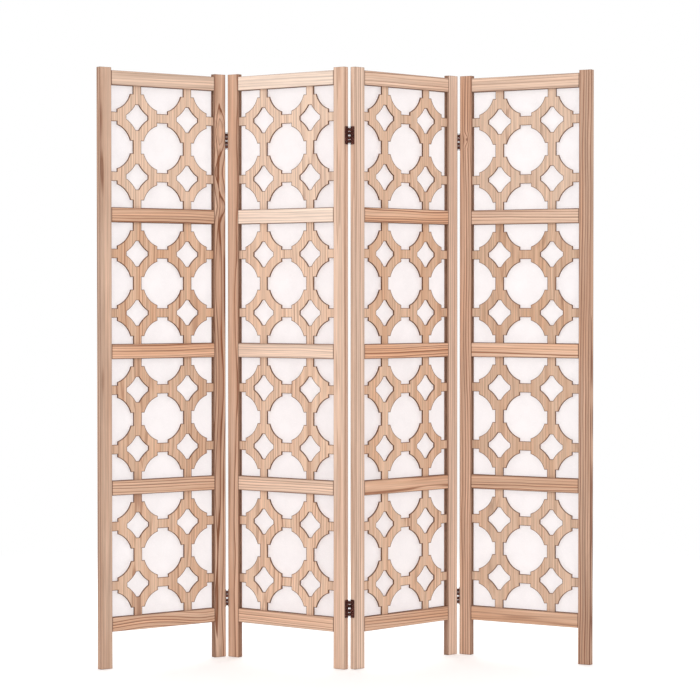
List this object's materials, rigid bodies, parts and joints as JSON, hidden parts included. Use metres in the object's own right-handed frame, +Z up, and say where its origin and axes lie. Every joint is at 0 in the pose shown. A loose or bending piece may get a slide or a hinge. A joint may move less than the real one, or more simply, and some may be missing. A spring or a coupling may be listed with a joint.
{
  "type": "folding screen",
  "caption": "Free-standing folding screen of hinged pine panels, each with pierced lattice sheets set in a grooved frame over a thin white backing.",
  "frame": {"origin": "middle of the footprint, on the floor", "axes": "+Z up along the stiles, +X from panel 1 to panel 4, -Y the front that shows the pierced faces"},
  "size_m": [1.4094, 0.315, 1.7],
  "materials": {
    "pine_stile": "bare pine, vertical grain, light pinkish tan",
    "pine_rail": "bare pine, grain along the rail",
    "lattice_plywood": "light plywood with browned cut edges",
    "backing_paper": "matt white translucent sheet",
    "bronzed_steel": "dark bronze lacquer"
  },
  "bodies": {
    "panel_1": {"panel_1_left_stile": "pine_stile", "panel_1_right_stile": "pine_stile", "panel_1_bottom_rail": "pine_rail", "panel_1_lower_rail": "pine_rail", "panel_1_middle_rail": "pine_rail", "panel_1_upper_rail": "pine_rail", "panel_1_top_rail": "pine_rail", "panel_1_lattice_1": "lattice_plywood", "panel_1_lattice_2": "lattice_plywood", "panel_1_lattice_3": "lattice_plywood", "panel_1_lattice_4": "lattice_plywood", "panel_1_backing_sheet": "backing_paper", "left_joint_lower_hinge_pin_leaf": "bronzed_steel", "left_joint_upper_hinge_pin_leaf": "bronzed_steel"},
    "panel_2": {"panel_2_left_stile": "pine_stile", "panel_2_right_stile": "pine_stile", "panel_2_bottom_rail": "pine_rail", "panel_2_lower_rail": "pine_rail", "panel_2_middle_rail": "pine_rail", "panel_2_upper_rail": "pine_rail", "panel_2_top_rail": "pine_rail", "panel_2_lattice_1": "lattice_plywood", "panel_2_lattice_2": "lattice_plywood", "panel_2_lattice_3": "lattice_plywood", "panel_2_lattice_4": "lattice_plywood", "panel_2_backing_sheet": "backing_paper", "left_joint_lower_hinge_plain_leaf": "bronzed_steel", "left_joint_upper_hinge_plain_leaf": "bronzed_steel", "centre_joint_lower_hinge_pin_leaf": "bronzed_steel", "centre_joint_upper_hinge_pin_leaf": "bronzed_steel"},
    "panel_3": {"panel_3_left_stile": "pine_stile", "panel_3_right_stile": "pine_stile", "panel_3_bottom_rail": "pine_rail", "panel_3_lower_rail": "pine_rail", "panel_3_middle_rail": "pine_rail", "panel_3_upper_rail": "pine_rail", "panel_3_top_rail": "pine_rail", "panel_3_lattice_1": "lattice_plywood", "panel_3_lattice_2": "lattice_plywood", "panel_3_lattice_3": "lattice_plywood", "panel_3_lattice_4": "lattice_plywood", "panel_3_backing_sheet": "backing_paper", "centre_joint_lower_hinge_plain_leaf": "bronzed_steel", "centre_joint_upper_hinge_plain_leaf": "bronzed_steel", "right_joint_lower_hinge_pin_leaf": "bronzed_steel", "right_joint_upper_hinge_pin_leaf": "bronzed_steel"},
    "panel_4": {"panel_4_left_stile": "pine_stile", "panel_4_right_stile": "pine_stile", "panel_4_bottom_rail": "pine_rail", "panel_4_lower_rail": "pine_rail", "panel_4_middle_rail": "pine_rail", "panel_4_upper_rail": "pine_rail", "panel_4_top_rail": "pine_rail", "panel_4_lattice_1": "lattice_plywood", "panel_4_lattice_2": "lattice_plywood", "panel_4_lattice_3": "lattice_plywood", "panel_4_lattice_4": "lattice_plywood", "panel_4_backing_sheet": "backing_paper", "right_joint_lower_hinge_plain_leaf": "bronzed_steel", "right_joint_upper_hinge_plain_leaf": "bronzed_steel"}
  },
  "joints": [
    {"name": "left_fold", "type": "hinge", "parent": "panel_2", "child": "panel_1", "pos_m": [-0.35065, 0.09315, 0], "axis": [0, 0, 1], "range_deg": [-72.9, 107.1]},
    {"name": "centre_fold", "type": "hinge", "parent": "panel_2", "child": "panel_3", "pos_m": [0.00721, -0.14136, 0], "axis": [0, 0, 1], "range_deg": [-80.8, 99.2]},
    {"name": "right_fold", "type": "hinge", "parent": "panel_3", "child": "panel_4", "pos_m": [0.32894, 0.14067, 0], "axis": [0, 0, 1], "range_deg": [-104.8, 75.2]}
  ]
}
